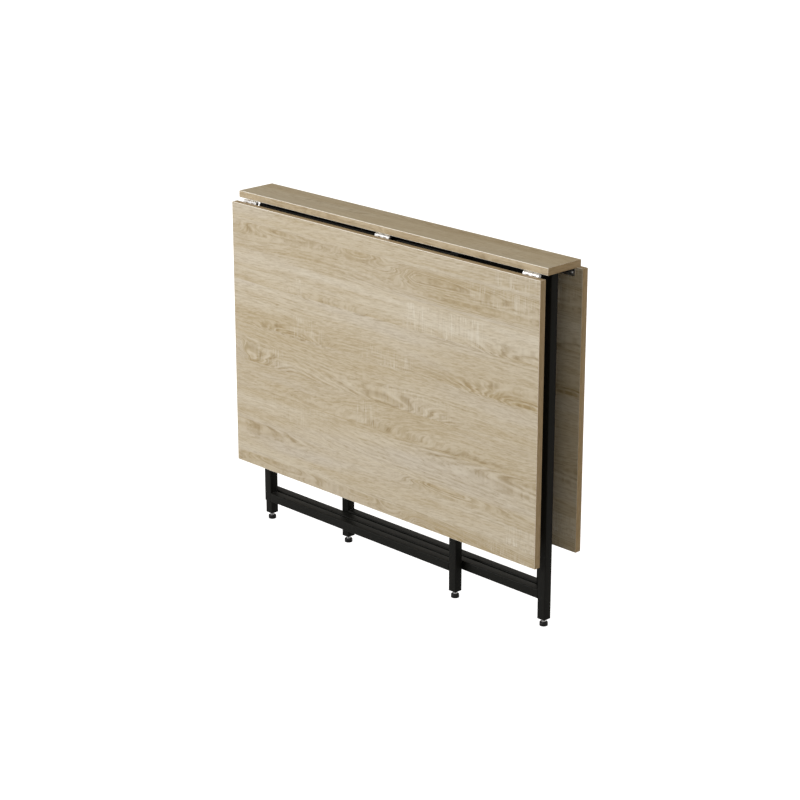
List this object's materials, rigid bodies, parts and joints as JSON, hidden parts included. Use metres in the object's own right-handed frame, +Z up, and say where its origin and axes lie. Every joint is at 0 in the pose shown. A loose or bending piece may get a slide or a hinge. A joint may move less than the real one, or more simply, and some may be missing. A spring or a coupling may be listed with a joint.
{
  "type": "gateleg table",
  "caption": "Folding gateleg table, folded: narrow centre board on a black square-tube frame, long leaves hanging from drop-leaf hinges, and swinging gate frames behind them.",
  "frame": {"origin": "centre of the footprint, on the floor", "axes": "+X along the board, -Y towards the front leaf, +Z up"},
  "size_m": [0.9, 0.138, 0.77],
  "materials": {
    "oak_panel": "satin light oak-print laminate on chipboard",
    "edging": "satin oak-print plastic edging",
    "frame_steel": "black satin powder coat",
    "bright_steel": "zinc plated",
    "black_plastic": "matte"
  },
  "bodies": {
    "frame": {"centre_board": "oak_panel", "centre_board_edging": "edging", "board_screws": "bright_steel", "top_plate_left": "frame_steel", "top_plate_middle": "frame_steel", "top_plate_right": "frame_steel", "end_post_left": "frame_steel", "end_post_right": "frame_steel", "frame_bottom_rail": "frame_steel", "frame_top_rail": "frame_steel", "pivot_lug_left": "frame_steel", "pivot_lug_right": "frame_steel", "pivot_pin_front_top": "frame_steel", "pivot_pin_front_bottom": "frame_steel", "pivot_pin_back_top": "frame_steel", "pivot_pin_back_bottom": "frame_steel", "hinge_pins_front": "bright_steel", "hinge_pins_back": "bright_steel", "end_plug_left": "black_plastic", "end_plug_right": "black_plastic", "hinge_fixed_front_left": "bright_steel", "hinge_fixed_front_middle": "bright_steel", "hinge_fixed_front_right": "bright_steel", "hinge_fixed_back_left": "bright_steel", "hinge_fixed_back_middle": "bright_steel", "hinge_fixed_back_right": "bright_steel"},
    "leaf_front": {"leaf_front": "oak_panel", "leaf_front_edging": "edging", "hinge_screws_leaf_front": "bright_steel", "hinge_moving_front_left": "bright_steel", "hinge_moving_front_middle": "bright_steel", "hinge_moving_front_right": "bright_steel"},
    "leaf_back": {"leaf_back": "oak_panel", "leaf_back_edging": "edging", "hinge_screws_leaf_back": "bright_steel", "hinge_moving_back_left": "bright_steel", "hinge_moving_back_middle": "bright_steel", "hinge_moving_back_right": "bright_steel"},
    "gate_front": {"gate_front_pivot_post": "frame_steel", "gate_front_free_leg": "frame_steel", "gate_front_bottom_rail": "frame_steel", "gate_front_top_rail": "frame_steel", "gate_front_bushes": "black_plastic", "gate_front_rest_pad": "black_plastic", "end_plug_gate_front": "black_plastic"},
    "gate_back": {"gate_back_pivot_post": "frame_steel", "gate_back_free_leg": "frame_steel", "gate_back_bottom_rail": "frame_steel", "gate_back_top_rail": "frame_steel", "gate_back_bushes": "black_plastic", "gate_back_rest_pad": "black_plastic", "end_plug_gate_back": "black_plastic"},
    "foot_left": {"foot_disc_left": "black_plastic", "foot_stud_left": "bright_steel"},
    "foot_right": {"foot_disc_right": "black_plastic", "foot_stud_right": "bright_steel"},
    "foot_gate_front": {"foot_disc_gate_front": "black_plastic", "foot_stud_gate_front": "bright_steel"},
    "foot_gate_back": {"foot_disc_gate_back": "black_plastic", "foot_stud_gate_back": "bright_steel"}
  },
  "joints": [
    {"name": "leaf_front_fold", "type": "hinge", "parent": "frame", "child": "leaf_front", "pos_m": [0, -0.0495, 0.7505], "axis": [-1, 0, 0], "range_deg": [0, 90]},
    {"name": "leaf_back_fold", "type": "hinge", "parent": "frame", "child": "leaf_back", "pos_m": [0, 0.0495, 0.7505], "axis": [1, 0, 0], "range_deg": [0, 90]},
    {"name": "gate_front_swing", "type": "hinge", "parent": "frame", "child": "gate_front", "pos_m": [-0.389, -0.026, 0.4], "axis": [0, 0, -1], "range_deg": [0, 1.5]},
    {"name": "gate_back_swing", "type": "hinge", "parent": "frame", "child": "gate_back", "pos_m": [0.389, 0.026, 0.4], "axis": [0, 0, -1], "range_deg": [0, 1.5]},
    {"name": "foot_left_turn", "type": "hinge", "parent": "frame", "child": "foot_left", "pos_m": [-0.416, 0, 0.0155], "axis": [0, 0, 1], "continuous": true},
    {"name": "foot_right_turn", "type": "hinge", "parent": "frame", "child": "foot_right", "pos_m": [0.416, 0, 0.0155], "axis": [0, 0, 1], "continuous": true},
    {"name": "foot_gate_front_turn", "type": "hinge", "parent": "gate_front", "child": "foot_gate_front", "pos_m": [0.19, -0.026, 0.0155], "axis": [0, 0, 1], "continuous": true},
    {"name": "foot_gate_back_turn", "type": "hinge", "parent": "gate_back", "child": "foot_gate_back", "pos_m": [-0.19, 0.026, 0.0155], "axis": [0, 0, 1], "continuous": true}
  ]
}
